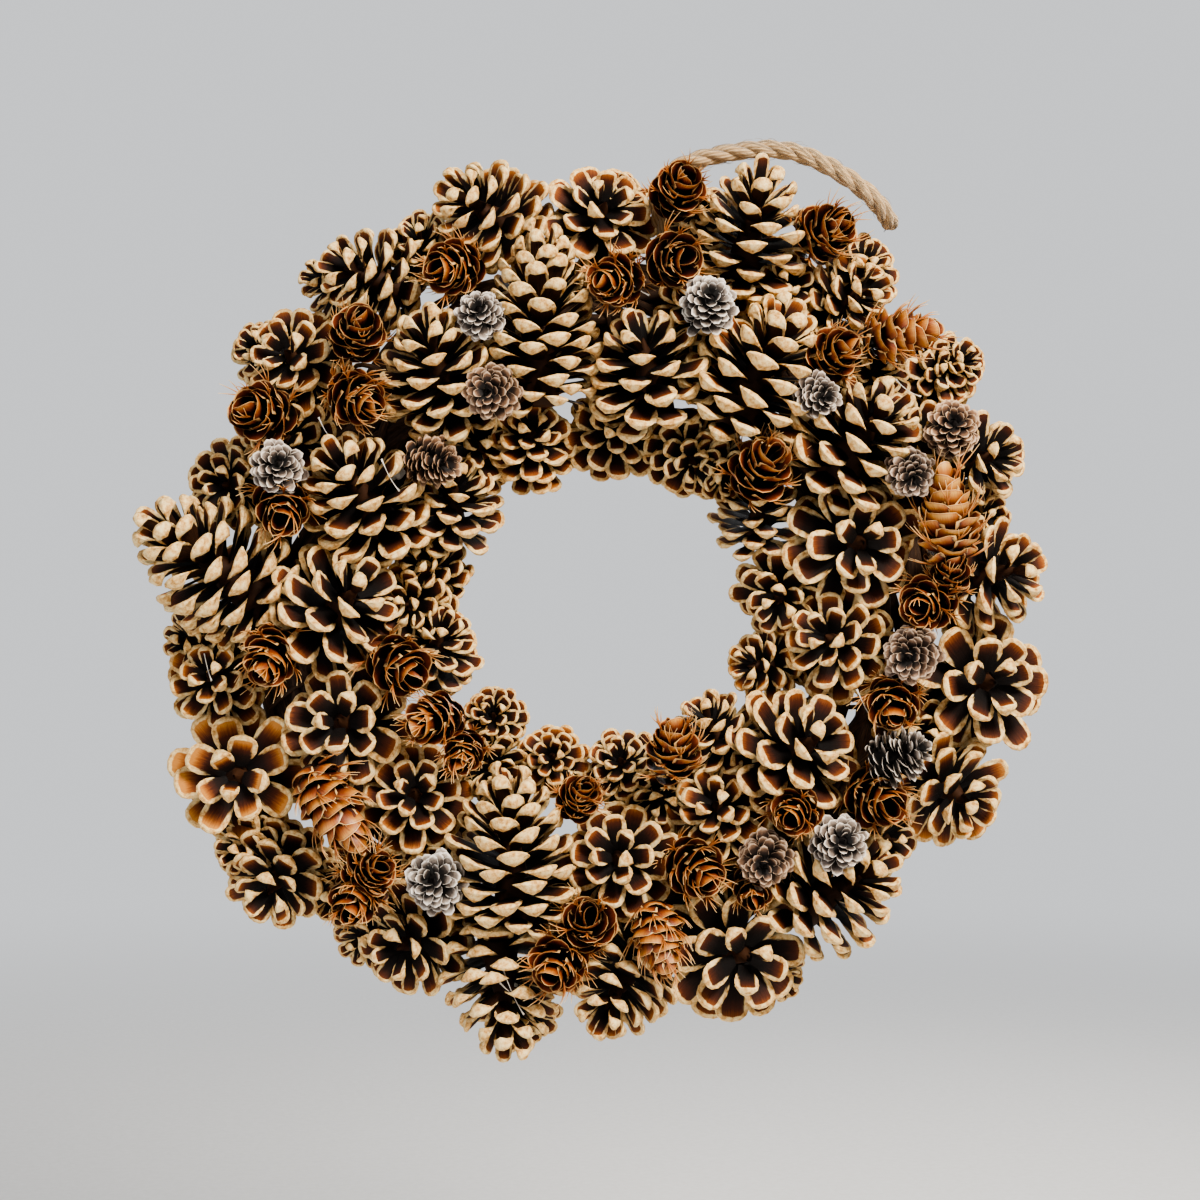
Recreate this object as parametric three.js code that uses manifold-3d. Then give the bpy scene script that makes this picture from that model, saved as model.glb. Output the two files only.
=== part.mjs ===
// A pinecone wreath: open pine cones, fir cones and larch cones glued to the face of a round
// vine ring, with a loop of twisted jute rope at its top.
// Millimetres, +Z up. The wreath stands in the XZ plane, its face towards -Y and its back on Y = 0.
// The origin is where the wall's hook carries the ring: its inner edge, at the top of the back.

import * as THREE from 'three'
import { mergeVertices } from 'three/addons/utils/BufferGeometryUtils.js'
import Module from 'manifold-3d'

const wasm = await Module()
wasm.setup()

// Driving dimensions
const GAP = 0.3 // between solids that touch
const RING_RADIUS = 113 // to the middle of the vine ring's width
const RING_HALF_WIDTH = 24
const RING_DEPTH = 16
const RING_RIM_SHARE = 0.35 // the crown rises from a rim this share of the depth
const RING_SEGMENTS = 48
const RING_CROWN_STEPS = 6
const CONE_SIDES = 12
const BASE_SHARE = 0.45 // a cone's flat base, as a share of its greatest radius
const SEAT_STEP = 0.5 // how far a cone moves at a time while it is brought to rest on the ring
const ROPE_DIAMETER = 7
const ROPE_SIDES = 10
const ROPE_STEP = 2.4 // rope diameters between two rings of the tube

const HOOK_HEIGHT = RING_RADIUS - RING_HALF_WIDTH // above the wreath's centre

// Where each cone sits. across and up are its middle, from the wreath's centre.
// heading is the way its tip points in the plane of the wreath, in degrees anticlockwise
// from +X, and facing is how far the tip turns out of that plane, towards the front.
// across, up, width, length, heading, facing
const PINE_CONES = [
  // outer row, clockwise from the top
  [2, 152, 40, 38, 60, 65],
  [60, 148, 42, 54, 80, 30],
  [99, 120, 34, 36, 25, 45],
  [133, 91, 28, 28, 0, 75],
  [149, 58, 36, 36, 10, 50],
  [154, 14, 42, 42, 10, 45],
  [149, -28, 49, 42, 0, 75],
  [138, -71, 40, 40, 320, 55],
  [95, -104, 44, 52, 35, 25],
  [55, -131, 50, 42, 330, 75],
  [8, -145, 38, 46, 235, 40],
  [-35, -148, 42, 54, 278, 25],
  [-72, -128, 40, 38, 200, 60],
  [-123, -105, 38, 38, 240, 60],
  [-138, -64, 47, 36, 90, 86],
  [-148, -26, 35, 34, 110, 75],
  [-149, 20, 46, 66, 141, 25],
  [-142, 48, 32, 32, 200, 75],
  [-117, 97, 38, 36, 135, 70],
  [-89, 128, 37, 42, 165, 36],
  [-44, 153, 38, 46, 150, 42],
  // middle row
  [-21, 113, 40, 72, 89, 12],
  [19, 94, 44, 46, 100, 36],
  [64, 94, 46, 58, 62, 22],
  [102, 67, 46, 50, 55, 30],
  [99, 25, 46, 38, 350, 80],
  [90, -12, 38, 38, 150, 60],
  [79, -52, 46, 44, 40, 50],
  [47, -76, 36, 36, 125, 62],
  [9, -95, 40, 38, 120, 72],
  [-32, -88, 44, 66, 92, 12],
  [-69, -71, 38, 34, 80, 72],
  [-96, -43, 45, 38, 120, 78],
  [-95, 3, 46, 46, 40, 40],
  [-90, 46, 44, 52, 118, 40],
  [-60, 93, 41, 54, 105, 38],
  // inner row, round the hole
  [-25, 66, 32, 34, 80, 60],
  [7, 70, 34, 32, 60, 75],
  [37, 58, 30, 30, 300, 60],
  [63, 40, 32, 34, 90, 30],
  [71, 5, 34, 34, 240, 60],
  [63, -22, 28, 28, 180, 40],
  [45, -46, 33, 36, 120, 35],
  [10, -60, 28, 28, 110, 60],
  [-17, -58, 25, 26, 90, 75],
  [-40, -42, 24, 24, 100, 70],
  [-61, -13, 32, 34, 70, 45],
  [-66, 16, 27, 28, 140, 50],
  [-55, 44, 36, 38, 80, 40],
]

// The largest of the small cones, which lie on top of the pine cones. The last number is
// the height of the cone's middle above the wreath's back.
const FIR_CONES = [
  [116, 103, 21, 32, 10, 15, 46],
  [131, 37, 24, 40, 95, 12, 50],
  [29, -51, 21, 28, 90, 30, 46],
  [24, -124, 20, 32, 285, 20, 52],
  [-97, -76, 24, 42, 305, 12, 50],
  [63, 54, 23, 30, 60, 55, 46],
]
const LARCH_CONES = [
  [42, 114, 20, 20, 80, 70, 54],
  [114, -54, 20, 24, 20, 25, 54],
  [-60, -101, 21, 21, 120, 75, 52],
]

// The rope's middle line: out of the ring's rim, over the top cones to the right, round the end
// of the loop and back again behind. across, depth, up, from the wreath's centre.
const ROPE_ROUTE = [
  [30, -15, 132],
  [28.5, -15, 139.5],
  [26, -15.5, 147],
  [24, -16, 155],
  [24.5, -17.5, 163],
  [29.5, -19, 169.5],
  [37, -21, 173],
  [46, -23, 175],
  [56, -25, 176.3],
  [66, -27, 176.6],
  [76, -29, 175],
  [85, -31, 171.2],
  [93, -33, 166.3],
  [101, -34, 160.5],
  [107.5, -32, 155],
  [111.5, -26, 150.8],
  [113.8, -19, 149.9],
  [114, -12, 152.6],
  [110.5, -7, 159],
  [104.5, -5.2, 165.4],
  [96.2, -4.4, 171.5],
  [87.7, -4.3, 176.2],
  [78.2, -4.2, 179.8],
  [67.8, -4.2, 181],
  [57.4, -4.2, 180.4],
  [47, -4.2, 178.6],
  [38.2, -4.2, 175.2],
  [32.2, -4.2, 168.5],
  [29.8, -4.2, 159],
  [29.5, -4.2, 148.5],
  [30, -4.4, 138],
]

const COLOURS = {
  vine: { color: 0x5a4030, roughness: 0.85, metalness: 0 },
  pine: { color: 0x8a5a34, roughness: 0.7, metalness: 0 },
  fir: { color: 0x8a4322, roughness: 0.65, metalness: 0 },
  larch: { color: 0x8a7a70, roughness: 0.8, metalness: 0 },
  jute: { color: 0xc4a67e, roughness: 0.9, metalness: 0 },
}

const wreath = new THREE.Group()
wreath.position.z = -HOOK_HEIGHT

// Solids and meshes

function solidOf(geometry) {
  const bare = geometry.index ? geometry.toNonIndexed() : geometry.clone()
  for (const name of Object.keys(bare.attributes)) {
    if (name !== 'position') bare.deleteAttribute(name)
  }
  const merged = mergeVertices(bare, 1e-3)
  const vertProperties = new Float32Array(merged.attributes.position.array)
  const triVerts = new Uint32Array(merged.index.array)
  return new wasm.Manifold(new wasm.Mesh({ numProp: 3, vertProperties, triVerts }))
}

function geometryOf(solid) {
  const mesh = solid.getMesh()
  const geometry = new THREE.BufferGeometry()
  geometry.setAttribute('position', new THREE.BufferAttribute(mesh.vertProperties, 3))
  geometry.setIndex(new THREE.BufferAttribute(mesh.triVerts, 1))
  geometry.computeVertexNormals()
  return geometry
}

function addPiece(name, geometry, finish) {
  const mesh = new THREE.Mesh(geometry, new THREE.MeshStandardMaterial(finish))
  mesh.name = name
  wreath.add(mesh)
}

// The vine ring: flat behind, crowned in front

function ringGeometry(clearance) {
  const halfWidth = RING_HALF_WIDTH + clearance
  const depth = RING_DEPTH + clearance
  const profile = [new THREE.Vector2(RING_RADIUS - halfWidth, 0)]
  for (let step = 0; step <= RING_CROWN_STEPS; step++) {
    const angle = Math.PI * (1 - step / RING_CROWN_STEPS)
    const height = depth * (RING_RIM_SHARE + (1 - RING_RIM_SHARE) * Math.sin(angle))
    profile.push(new THREE.Vector2(RING_RADIUS + halfWidth * Math.cos(angle), -height))
  }
  profile.push(new THREE.Vector2(RING_RADIUS + halfWidth, 0))
  profile.push(profile[0].clone())
  return new THREE.LatheGeometry(profile, RING_SEGMENTS)
}

// Cones

function coneGeometry(width, length) {
  const outline = [
    [0, 0],
    [BASE_SHARE, 0],
    [0.78, 0.12],
    [1, 0.3],
    [0.97, 0.5],
    [0.8, 0.7],
    [0.5, 0.87],
    [0, 1],
  ]
  const profile = outline.map(([r, t]) => new THREE.Vector2((r * width) / 2, (t - 0.5) * length))
  return new THREE.LatheGeometry(profile, CONE_SIDES)
}

function pointing(heading, facing) {
  const turn = THREE.MathUtils.degToRad(heading)
  const tilt = THREE.MathUtils.degToRad(facing)
  return new THREE.Vector3(
    Math.cos(turn) * Math.cos(tilt), -Math.sin(tilt), Math.sin(turn) * Math.cos(tilt))
}

function makeCone([across, up, width, length, heading, facing, height]) {
  const axis = pointing(heading, facing)
  const reach = (length / 2) * -axis.y + (width / 2) * Math.hypot(axis.x, axis.z)
  const middle = new THREE.Vector3(across, -(height ?? reach + GAP), up)
  const geometry = coneGeometry(width, length)
  const upright = new THREE.Vector3(0, 1, 0)
  geometry.applyQuaternion(new THREE.Quaternion().setFromUnitVectors(upright, axis))
  geometry.translate(middle.x, middle.y, middle.z)
  const half = axis.clone().multiplyScalar(length / 2)
  const core = new THREE.Line3(middle.clone().sub(half), middle.clone().add(half))
  return { solid: solidOf(geometry), core, width }
}

function moveForward(cone, distance) {
  cone.solid = cone.solid.translate([0, -distance, 0])
  cone.core.start.y -= distance
  cone.core.end.y -= distance
}

// A cone starts against the wall and comes forward until it clears the ring.
function seatOn(ring, cone) {
  while (!ring.intersect(cone.solid).isEmpty()) moveForward(cone, SEAT_STEP)
}

// Two cones whose scales interlock are cut flat, by a plane between their middle lines.
function separate(a, b) {
  if (a.solid.minGap(b.solid, 2 * GAP) >= GAP) return
  const onA = new THREE.Vector3()
  const onB = new THREE.Vector3()
  a.core.distanceSqToLine3(b.core, onA, onB)
  const across = onB.clone().sub(onA)
  const share = a.width / (a.width + b.width)
  const between = onA.clone().addScaledVector(across, share)
  const normal = across.normalize()
  const offset = between.dot(normal)
  const inward = [-normal.x, -normal.y, -normal.z]
  const outward = [normal.x, normal.y, normal.z]
  a.solid = a.solid.trimByPlane(inward, -(offset - GAP / 2))
  b.solid = b.solid.trimByPlane(outward, offset + GAP / 2)
}

// The rope

function ropeGeometry(diameter) {
  const points = ROPE_ROUTE.map(([x, y, z]) => new THREE.Vector3(x, y, z))
  const route = new THREE.CatmullRomCurve3(points, false, 'centripetal')
  const section = new THREE.Shape()
  for (let side = 0; side < ROPE_SIDES; side++) {
    const angle = (2 * Math.PI * side) / ROPE_SIDES
    const x = (diameter / 2) * Math.cos(angle)
    const y = (diameter / 2) * Math.sin(angle)
    if (side === 0) section.moveTo(x, y)
    else section.lineTo(x, y)
  }
  section.closePath()
  const steps = Math.round(route.getLength() / (ROPE_STEP * ROPE_DIAMETER))
  return new THREE.ExtrudeGeometry(section, { steps, extrudePath: route, bevelEnabled: false })
}

// The whole wreath

const rope = solidOf(ropeGeometry(ROPE_DIAMETER))
const clearOfRing = solidOf(ringGeometry(GAP))

const families = [
  { name: 'pine_cone', rows: PINE_CONES, finish: COLOURS.pine },
  { name: 'fir_cone', rows: FIR_CONES, finish: COLOURS.fir },
  { name: 'larch_cone', rows: LARCH_CONES, finish: COLOURS.larch },
]
const cones = families.flatMap(({ name, rows, finish }) =>
  rows.map((row, index) => {
    const number = String(index + 1).padStart(2, '0')
    return { ...makeCone(row), name: `${name}_${number}`, finish }
  }))

cones.forEach((cone) => seatOn(clearOfRing, cone))
for (let i = 0; i < cones.length; i++) {
  for (let j = i + 1; j < cones.length; j++) separate(cones[i], cones[j])
}

addPiece('base_ring', ringGeometry(0), COLOURS.vine)
addPiece('hanging_rope', geometryOf(rope), COLOURS.jute)
for (const cone of cones) addPiece(cone.name, geometryOf(cone.solid), cone.finish)

export default wreath
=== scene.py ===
# %% [markdown]
# # A pinecone wreath
# The wreath is a ring of wound vine with pine, fir and larch cones glued to it and a rope loop
# at the top. The solid model gives the larger cones' places and sizes, and the smaller ones
# are listed here. The script grows the scales on each cone, twists the rope and winds
# the vine, and gives each its own finish.
# Lengths are in metres, +Z is up and -Y is the wreath's face.

# %% Load the solid model
import math
import bpy
import numpy as np
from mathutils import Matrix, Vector


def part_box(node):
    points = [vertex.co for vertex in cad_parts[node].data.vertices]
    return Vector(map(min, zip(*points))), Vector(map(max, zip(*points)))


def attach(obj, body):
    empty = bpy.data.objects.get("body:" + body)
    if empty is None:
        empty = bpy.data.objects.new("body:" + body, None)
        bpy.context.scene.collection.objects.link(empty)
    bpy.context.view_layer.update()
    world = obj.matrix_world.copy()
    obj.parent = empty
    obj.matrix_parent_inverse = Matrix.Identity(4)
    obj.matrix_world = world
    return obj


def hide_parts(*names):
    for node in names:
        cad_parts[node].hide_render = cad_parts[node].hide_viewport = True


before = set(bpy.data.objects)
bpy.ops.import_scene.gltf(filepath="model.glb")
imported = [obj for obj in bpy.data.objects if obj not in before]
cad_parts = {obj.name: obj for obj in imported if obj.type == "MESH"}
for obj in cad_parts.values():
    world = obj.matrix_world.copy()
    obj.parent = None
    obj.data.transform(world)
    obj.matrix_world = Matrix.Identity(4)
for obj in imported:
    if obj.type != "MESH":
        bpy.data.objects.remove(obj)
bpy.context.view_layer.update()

# %% [markdown]
# ## Sizes
# Listed things are measured in millimetres from the middle of the ring's flat back. A
# cone's scales follow each other by the golden angle.

# %% Sizes that everything starts from
MM = 0.001
ring_low, ring_high = (np.array(corner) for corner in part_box("base_ring"))
CENTRE = (ring_low + ring_high) / 2
CENTRE[1] = ring_high[1]  # the wreath's centre, on its flat back
RING_OUTSIDE = (ring_high[0] - ring_low[0]) / 2
RING_DEPTH = ring_high[1] - ring_low[1]
GOLDEN_ANGLE = math.pi * (3 - math.sqrt(5))
print("centre", CENTRE.round(4), "ring radius", round(RING_OUTSIDE, 4))


def place(across, depth, up):
    """A point from millimetres across, in depth and up from the wreath's centre."""
    return CENTRE + np.array([across, depth, up]) * MM


# %% [markdown]
# ## Camera
# The wreath is seen straight on, at the height of its centre. A longer lens from most of a
# metre away keeps the outer cones from leaning outwards in the picture.

# %% Camera
FACE_DEPTH = -35  # the cones' visible middle, which the framing is measured at
FRAME_WIDTH = 456
CAMERA_DISTANCE = 820
AIM_ACROSS, AIM_UP = 1.5, 3.5  # where the camera looks, from the wreath's centre
SENSOR_WIDTH = 36
camera_data = bpy.data.cameras.new("camera")
camera_data.sensor_width = SENSOR_WIDTH
camera_data.lens = SENSOR_WIDTH * CAMERA_DISTANCE / FRAME_WIDTH
camera = bpy.data.objects.new("camera", camera_data)
camera.location = place(AIM_ACROSS, FACE_DEPTH - CAMERA_DISTANCE, AIM_UP)
camera.rotation_euler = (math.radians(90), 0, 0)
bpy.context.collection.objects.link(camera)
bpy.context.scene.camera = camera
print("lens", round(camera_data.lens, 1), "mm")

# %% [markdown]
# ## Meshes from arrays
# A wreath holds thousands of scales, so meshes are made from whole arrays of points at once.
# Each point also carries a few numbers, such as how far along its scale it lies. The
# materials read those numbers, so that a rim stays pale wherever the scale points.

# %% One helper that turns arrays into a mesh object
def mesh_object(name, points, faces, numbers, material, slot):
    """A smooth piece that rides on the wreath. `numbers` holds one value a point, by name."""
    mesh = bpy.data.meshes.new(name)
    mesh.from_pydata(points.tolist(), [], faces.tolist())
    for key, values in numbers.items():
        layer = mesh.attributes.new(key, "FLOAT", "POINT")
        layer.data.foreach_set("value", np.asarray(values, dtype=np.float32).ravel())
    mesh.polygons.foreach_set("use_smooth", np.ones(len(mesh.polygons), dtype=bool))
    mesh.materials.append(material)
    mesh.update()
    piece = bpy.data.objects.new(name, mesh)
    bpy.context.collection.objects.link(piece)
    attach(piece, "root")
    return piece


def grid_faces(rows, columns, closed=False):
    """Quads of a grid of points, row by row. A closed grid joins its last column to its first."""
    row, column = np.meshgrid(
        np.arange(rows - 1), np.arange(columns if closed else columns - 1), indexing="ij")
    right = (column + 1) % columns
    corners = [row * columns + column, row * columns + right,
               (row + 1) * columns + right, (row + 1) * columns + column]
    return np.stack(corners, axis=-1).reshape(-1, 4)


def join_grids(grids):
    """Joins (points, faces, numbers) of several grids into one."""
    points, faces, numbers, start = [], [], {}, 0
    for grid_points, grid_quads, grid_numbers in grids:
        points.append(grid_points)
        faces.append(grid_quads + start)
        start += len(grid_points)
        for key, values in grid_numbers.items():
            numbers.setdefault(key, []).append(np.broadcast_to(values, len(grid_points)))
    return (np.concatenate(points), np.concatenate(faces),
            {key: np.concatenate(parts) for key, parts in numbers.items()})


def unit(vectors):
    """The same directions, each one long."""
    return vectors / np.linalg.norm(vectors, axis=-1, keepdims=True)


# %% [markdown]
# ## Tubes along a line
# The rope's strands, the vines and the glue threads are all tubes. A tube needs a ring of
# points at each step, square to the line. The rings are carried along without twisting,
# because a twist would show as a kink in the fibres.

# %% Tube builder
START_SIDE = [0.3, 1.0, 0.2]  # any direction that no path starts along


def carried_frames(path):
    """Two directions square to the path at each point, turned as little as possible."""
    along = unit(np.gradient(path, axis=0))
    side = np.cross(along[0], START_SIDE)
    sides = []
    for direction in along:
        side = side - direction * np.dot(side, direction)
        side = side / np.linalg.norm(side)
        sides.append(side)
    sides = np.array(sides)
    return sides, np.cross(along, sides)


def tube(path, radius, around=8, closed=False):
    """A tube along a path. `run` is millimetres along it and `around` the angle round it."""
    sides, ups = carried_frames(path)
    angle = np.linspace(0, 2 * math.pi, around, endpoint=False)
    radius = np.broadcast_to(radius, len(path))[:, None, None]
    ring = (np.cos(angle)[None, :, None] * sides[:, None] +
            np.sin(angle)[None, :, None] * ups[:, None])
    points = (path[:, None] + ring * radius).reshape(-1, 3)
    steps = np.linalg.norm(np.diff(path, axis=0), axis=1)
    run = np.concatenate([[0], np.cumsum(steps)]) / MM
    numbers = {"run": np.repeat(run, around), "around": np.tile(angle, len(path))}
    faces = grid_faces(len(path), around, closed=True)
    if closed:
        last = (len(path) - 1) * around
        seam = [[last + i, last + (i + 1) % around, (i + 1) % around, i] for i in range(around)]
        faces = np.concatenate([faces, np.array(seam)])
    return points, faces, numbers


def smooth_path(points, spacing):
    """A Catmull-Rom curve through the points, with a point about every `spacing` metres."""
    points = np.asarray(points)
    ends = np.concatenate([[2 * points[0] - points[1]], points, [2 * points[-1] - points[-2]]])
    pieces = []
    for i in range(1, len(ends) - 2):
        a, b, c, d = ends[i - 1:i + 3]
        count = max(2, round(np.linalg.norm(c - b) / spacing))
        t = np.linspace(0, 1, count, endpoint=False)[:, None]
        pieces.append(0.5 * (2 * b + (c - a) * t + (2 * a - 5 * b + 4 * c - d) * t ** 2 +
                             (3 * b - a - 3 * c + d) * t ** 3))
    return np.concatenate([*pieces, points[-1:]])


# %% [markdown]
# ## Materials, and one helper to build them
# Colours are written as sRGB hex values and turned linear. Each finish starts from what the
# real surface is: dry conifer scales, papery bracts, bark and jute are all dull and slightly
# rough, with an IOR near 1.5.

# %% Colour and node helpers
def linear(hex_colour):
    """A linear colour from an sRGB hex value such as '#e6c690'."""
    parts = [int(hex_colour[i:i + 2], 16) / 255 for i in (1, 3, 5)]
    return (*[p / 12.92 if p <= 0.04045 else ((p + 0.055) / 1.055) ** 2.4 for p in parts], 1)


def add_node(tree, kind, inputs=(), stops=(), **settings):
    """Adds a node with its settings and links, and returns it.

    `inputs` fills the node's inputs, by name from a dict or in order from a list. Each is a
    value, another node, or one output of a node. `stops` are a colour ramp's positions and
    colours.
    """
    node = tree.nodes.new("ShaderNode" + kind)
    for key, value in settings.items():
        setattr(node, key, value)
    sockets = [socket for socket in node.inputs if socket.enabled]
    by_name = inputs.items() if isinstance(inputs, dict) else enumerate(inputs)
    for key, value in by_name:
        socket = sockets[key] if isinstance(key, int) else node.inputs[key]
        if isinstance(value, bpy.types.Node):
            value = next(output for output in value.outputs if output.enabled)
        if isinstance(value, bpy.types.NodeSocket):
            tree.links.new(value, socket)
        else:
            socket.default_value = value
    for index, (position, colour) in enumerate(stops):
        elements = node.color_ramp.elements
        element = elements[index] if index < len(elements) else elements.new(1)
        element.position = position
        element.color = linear(colour)
    return node


def new_material(name, roughness, numbers, ior=1.5, specular=0.5):
    """A material, its node tree and shader, and the mesh numbers that it reads."""
    material = bpy.data.materials.new(name)
    material.use_nodes = True
    tree = material.node_tree
    shader = tree.nodes["Principled BSDF"]
    shader.inputs["Roughness"].default_value = roughness
    shader.inputs["IOR"].default_value = ior
    shader.inputs["Specular IOR Level"].default_value = specular
    readings = [add_node(tree, "Attribute", attribute_name=key).outputs["Fac"] for key in numbers]
    return material, tree, shader, readings


# %% [markdown]
# ## The rope
# The rope is three strands of jute laid up in a right-hand twist. It leaves the ring behind
# the top cones, arches over them to the right, turns at the end of its loop and comes back
# behind itself. Its centre line is a given list of points in millimetres across, in
# depth and up, and each strand winds round that line once in a little under four rope
# diameters.

# %% The rope's line
ROPE_DIAMETER = 7
ROPE_LAY = 26  # length of one full turn of a strand
ROPE_ROUTE = [
    (30, -15, 132), (28.5, -15, 139.5), (26, -15.5, 147), (24, -16, 155), (24.5, -17.5, 163),
    (29.5, -19, 169.5), (37, -21, 173), (46, -23, 175), (56, -25, 176.3), (66, -27, 176.6),
    (76, -29, 175), (85, -31, 171.2), (93, -33, 166.3), (101, -34, 160.5), (107.5, -32, 155),
    (111.5, -26, 150.8), (113.8, -19, 149.9), (114, -12, 152.6), (110.5, -7, 159),
    (104.5, -5.2, 165.4), (96.2, -4.4, 171.5), (87.7, -4.3, 176.2), (78.2, -4.2, 179.8),
    (67.8, -4.2, 181), (57.4, -4.2, 180.4), (47, -4.2, 178.6), (38.2, -4.2, 175.2),
    (32.2, -4.2, 168.5), (29.8, -4.2, 159), (29.5, -4.2, 148.5), (30, -4.4, 138),
]
rope_line = smooth_path([place(*point) for point in ROPE_ROUTE], 1.0 * MM)

# %% [markdown]
# ### Jute
# Jute is a dull, pale tan bast fibre. Each strand is spun from yarns that are twisted the
# other way, so they lie nearly along the rope. The finish has fine ridges, with painted shade
# in the grooves between them, and fibres in several tans. Real fibres are about 0.05 mm thick,
# and are drawn here at about 0.2 mm to show.

# %% Jute material
YARNS = 8.0  # in each strand
YARN_SLANT = 1.5  # how far the yarns turn round their strand, in their phase per millimetre


def make_jute():
    material, tree, shader, readings = new_material(
        "jute_twisted_fibre", 0.88, ("run", "around", "pick"))
    run, around, pick = readings
    turn = add_node(tree, "Math", [around, YARNS], operation="MULTIPLY")
    slant = add_node(tree, "Math", [run, YARN_SLANT, turn], operation="MULTIPLY_ADD")
    yarn = add_node(tree, "Math", [slant], operation="SINE")
    drawn_out = add_node(tree, "Math", [run, 0.35], operation="MULTIPLY")
    fibre_place = add_node(tree, "CombineXYZ", [slant, drawn_out, pick])
    fibre = add_node(tree, "TexNoise", {"Vector": fibre_place, "Scale": 1.1, "Detail": 6.0,
                                        "Roughness": 0.7})
    tone = add_node(tree, "ValToRGB", [fibre], stops=[
        (0.28, "#7d6244"), (0.45, "#b3946a"), (0.58, "#cdb28a"), (0.78, "#ead9b6")])
    # Painted shade: the grooves between the yarns are painted darker.
    painted_groove_shade = add_node(tree, "MapRange", [yarn, -1.0, -0.4], interpolation_type="SMOOTHSTEP")
    colour = add_node(tree, "Mix", [painted_groove_shade, linear("#9c7a52"), tone], data_type="RGBA")
    height = add_node(tree, "Math", [yarn, 0.3, fibre], operation="MULTIPLY_ADD")
    bump = add_node(tree, "Bump", {"Height": height, "Strength": 0.9, "Distance": 0.4 * MM})
    tree.links.new(colour.outputs[2], shader.inputs["Base Color"])
    tree.links.new(bump.outputs[0], shader.inputs["Normal"])
    shader.inputs["Sheen Weight"].default_value = 0.25
    shader.inputs["Sheen Roughness"].default_value = 0.5
    return material


JUTE = make_jute()
print("material:", JUTE.name)

# %% [markdown]
# ### Strands and stray fibres
# Three tubes wound round the line fill the rope's outer circle. A real jute rope is hairy,
# so short thin fibres stand off it, pointing mostly along the rope.

# %% Rope pieces
STRANDS = 3
STRAND_SHARE = 0.27  # a strand's radius, as a share of the rope's diameter
STRAY_FIBRES = 220
FIBRE_ROOT = 0.46  # how far out a stray fibre starts, as a share of the rope's diameter
FIBRE_PICK = 5.0  # gives stray fibres tans of their own


def make_rope():
    """Three twisted strands and the stray fibres on them, as one piece."""
    rng = np.random.default_rng(7)
    sides, ups = carried_frames(rope_line)
    steps = np.linalg.norm(np.diff(rope_line, axis=0), axis=1)
    run = np.concatenate([[0], np.cumsum(steps)]) / MM
    strand_radius = STRAND_SHARE * ROPE_DIAMETER * MM
    offset = ROPE_DIAMETER / 2 * MM - strand_radius
    grids = []
    for strand in range(STRANDS):
        turn = 2 * math.pi * (run / ROPE_LAY + strand / STRANDS)
        line = rope_line + offset * (np.cos(turn)[:, None] * sides + np.sin(turn)[:, None] * ups)
        points, faces, numbers = tube(line, strand_radius, around=12)
        numbers["pick"] = np.full(len(points), float(strand))
        grids.append((points, faces, numbers))
    for _ in range(STRAY_FIBRES):
        at = rng.integers(8, len(rope_line) - 8)
        angle = rng.uniform(0, 2 * math.pi)
        out = math.cos(angle) * sides[at] + math.sin(angle) * ups[at]
        along = rope_line[at + 1] - rope_line[at]
        along = along / np.linalg.norm(along) * rng.choice([-1, 1])
        root = rope_line[at] + out * ROPE_DIAMETER * FIBRE_ROOT * MM
        reach = rng.uniform(2, 5) * MM
        tip = root + along * reach + out * reach * rng.uniform(0.05, 0.3)
        middle = (root + tip) / 2 + out * reach * 0.12
        hair = smooth_path([root, middle, tip], reach / 4)
        points, faces, numbers = tube(hair, np.linspace(0.09, 0.04, len(hair)) * MM, around=3)
        numbers["pick"] = np.full(len(points), FIBRE_PICK)
        grids.append((points, faces, numbers))
    return mesh_object("twisted_jute_rope", *join_grids(grids), JUTE, "jute_rope")


rope = make_rope()
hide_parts("hanging_rope")
print("rope faces", len(rope.data.polygons))

# %% [markdown]
# ## Where each cone points
# A cone's solid is turned round an axis that runs from the middle of its flat base to its tip.
# The base's middle is the one corner where every facet round it lies in the same plane, and
# the tip is the farthest corner along that axis. The widest corner gives the cone's width.

# %% Read a cone's axis from its solid
BASE_FACETS = 10  # at least this many facets meet at the middle of a base
ON_AXIS = 0.2  # a corner this near the axis, in millimetres, can be the tip


def cone_axis(node):
    """A solid cone's base, axis, length and width."""
    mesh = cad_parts[node].data
    mesh.calc_loop_triangles()
    corners = np.array([vertex.co[:] for vertex in mesh.vertices])
    keys = {}
    same = np.array([keys.setdefault(tuple(p), len(keys)) for p in corners.round(6).tolist()])
    points = np.array(list(keys))
    fans = {}
    for triangle in mesh.loop_triangles:
        for index in triangle.vertices:
            fans.setdefault(same[index], []).append(tuple(triangle.normal))
    best = None
    for index, normals in fans.items():
        normals = np.array(normals)
        spread = 1 - (normals @ normals.mean(axis=0)).min()
        if len(normals) >= BASE_FACETS and (best is None or spread < best[0]):
            best = (spread, index, normals.mean(axis=0))
    base = points[best[1]]
    axis = -best[2] / np.linalg.norm(best[2])
    ahead = (points - base) @ axis
    off = np.linalg.norm(points - base - ahead[:, None] * axis, axis=1)
    tip = points[np.where(off < ON_AXIS * MM, ahead, -1).argmax()]
    length = np.linalg.norm(tip - base)
    return base, (tip - base) / length, length, off.max() * 2


PINE_NODES = sorted(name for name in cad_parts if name.startswith("pine_cone"))
FIR_NODES = sorted(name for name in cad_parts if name.startswith("fir_cone"))
LARCH_NODES = sorted(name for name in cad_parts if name.startswith("larch_cone"))
axes = {name: cone_axis(name) for name in PINE_NODES + FIR_NODES + LARCH_NODES}
for name in PINE_NODES[:3]:
    *_, length, width = axes[name]
    print(name, "length", round(length / MM, 1), "width", round(width / MM, 1))

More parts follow.
